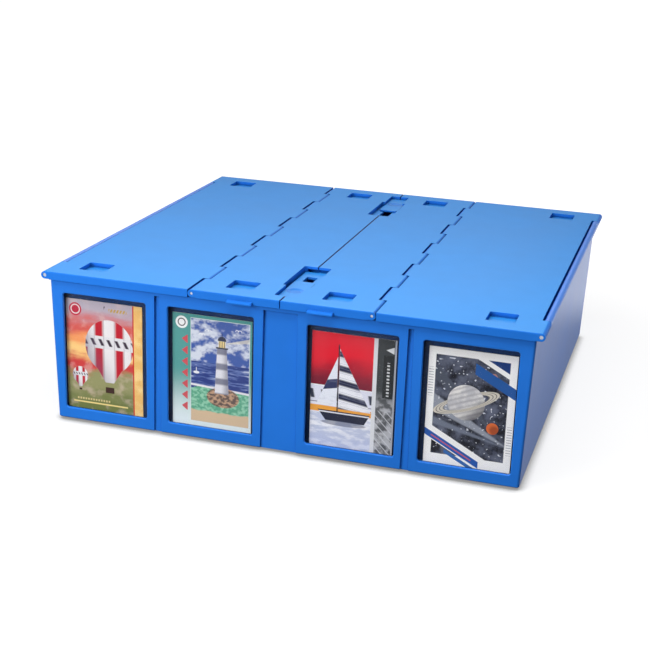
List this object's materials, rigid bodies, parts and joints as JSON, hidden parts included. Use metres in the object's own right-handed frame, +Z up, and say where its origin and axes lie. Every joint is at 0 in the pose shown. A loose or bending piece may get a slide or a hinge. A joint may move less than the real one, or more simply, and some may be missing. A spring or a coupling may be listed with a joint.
{
  "type": "trading card storage box",
  "caption": "Low square plastic box for rows of trading cards, with display windows in front and a two-part folding lid joined by sliding latches.",
  "frame": {"origin": "under the middle of the box, on the surface that its feet stand on", "axes": "+X to the right seen from the windowed front, across the hinges; +Y from the front to the back, along the card rows; +Z up"},
  "size_m": [0.3826, 0.3772, 0.1207],
  "materials": {
    "tub_plastic": "fine moulded texture, blue polypropylene",
    "lid_plastic": "fine moulded texture, lighter blue polypropylene",
    "latch_plastic": "smooth moulded blue polypropylene",
    "pin_steel": "drawn wire",
    "clear_pane": "clear acrylic sheet",
    "printed_card": null
  },
  "bodies": {
    "tub": {"tub": "tub_plastic", "window_pane_1": "clear_pane", "window_pane_2": "clear_pane", "window_pane_3": "clear_pane", "window_pane_4": "clear_pane", "display_card_1": "printed_card", "display_card_2": "printed_card", "display_card_3": "printed_card", "display_card_4": "printed_card", "left_side_hinge_pin": "pin_steel", "right_side_hinge_pin": "pin_steel"},
    "left_outer_lid": {"left_outer_lid": "lid_plastic", "left_fold_hinge_pin": "pin_steel"},
    "left_inner_lid": {"left_inner_lid": "lid_plastic"},
    "right_outer_lid": {"right_outer_lid": "lid_plastic", "right_fold_hinge_pin": "pin_steel"},
    "right_inner_lid": {"right_inner_lid": "lid_plastic"},
    "front_latch": {"front_latch_slide": "latch_plastic", "front_latch_retainer": "latch_plastic"},
    "rear_latch": {"rear_latch_slide": "latch_plastic", "rear_latch_retainer": "latch_plastic"}
  },
  "joints": [
    {"name": "left_side_hinge", "type": "hinge", "parent": "tub", "child": "left_outer_lid", "pos_m": [-0.1884, 0, 0.1178], "axis": [0, -1, 0], "range_deg": [0, 200]},
    {"name": "left_fold_hinge", "type": "hinge", "parent": "left_outer_lid", "child": "left_inner_lid", "pos_m": [-0.0686, 0, 0.1178], "axis": [0, -1, 0], "range_deg": [0, 90]},
    {"name": "right_side_hinge", "type": "hinge", "parent": "tub", "child": "right_outer_lid", "pos_m": [0.1884, 0, 0.1178], "axis": [0, 1, 0], "range_deg": [0, 200]},
    {"name": "right_fold_hinge", "type": "hinge", "parent": "right_outer_lid", "child": "right_inner_lid", "pos_m": [0.0686, 0, 0.1178], "axis": [0, 1, 0], "range_deg": [0, 90]},
    {"name": "front_latch_travel", "type": "slide", "parent": "right_inner_lid", "child": "front_latch", "axis": [0, 1, 0], "range_m": [0, 0.036]},
    {"name": "rear_latch_travel", "type": "slide", "parent": "left_inner_lid", "child": "rear_latch", "axis": [0, -1, 0], "range_m": [0, 0.036]}
  ]
}
